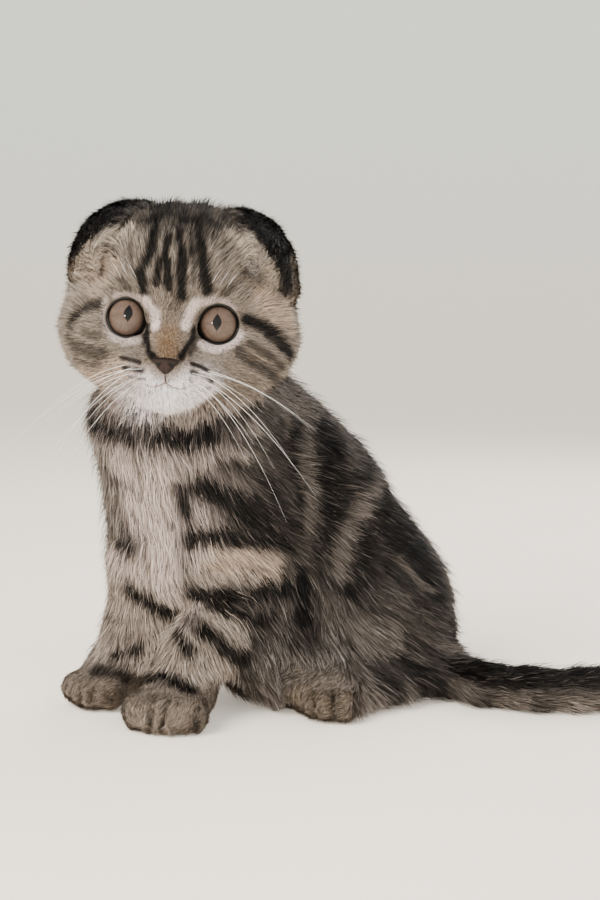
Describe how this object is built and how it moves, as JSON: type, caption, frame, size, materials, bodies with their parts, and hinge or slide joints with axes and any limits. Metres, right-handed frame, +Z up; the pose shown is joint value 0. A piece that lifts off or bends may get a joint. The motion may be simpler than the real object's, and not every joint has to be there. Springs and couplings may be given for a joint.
{
  "type": "kitten figure",
  "caption": "Seated tabby kitten with folded ears, looking ahead, its tail laid out to one side; a still life-size animal model.",
  "frame": {"origin": "middle of the model's box, on the floor it sits on", "axes": "+X towards the tail and the kitten's left, -Y ahead of the face, +Z up"},
  "size_m": [0.2412, 0.1198, 0.1879],
  "materials": {
    "coat": "short dense fur, matte",
    "eye": "wet, glossy"
  },
  "bodies": {
    "root": {"head": "coat", "neck": "coat", "torso": "coat", "ear_left": "coat", "ear_right": "coat", "eye_left": "eye", "eye_right": "eye", "foreleg_left": "coat", "foreleg_right": "coat", "forepaw_left": "coat", "forepaw_right": "coat", "hindleg_left": "coat", "hindleg_right": "coat", "hindpaw_left": "coat", "hindpaw_right": "coat", "tail_base": "coat", "tail_middle": "coat", "tail_tip": "coat"}
  },
  "joints": []
}
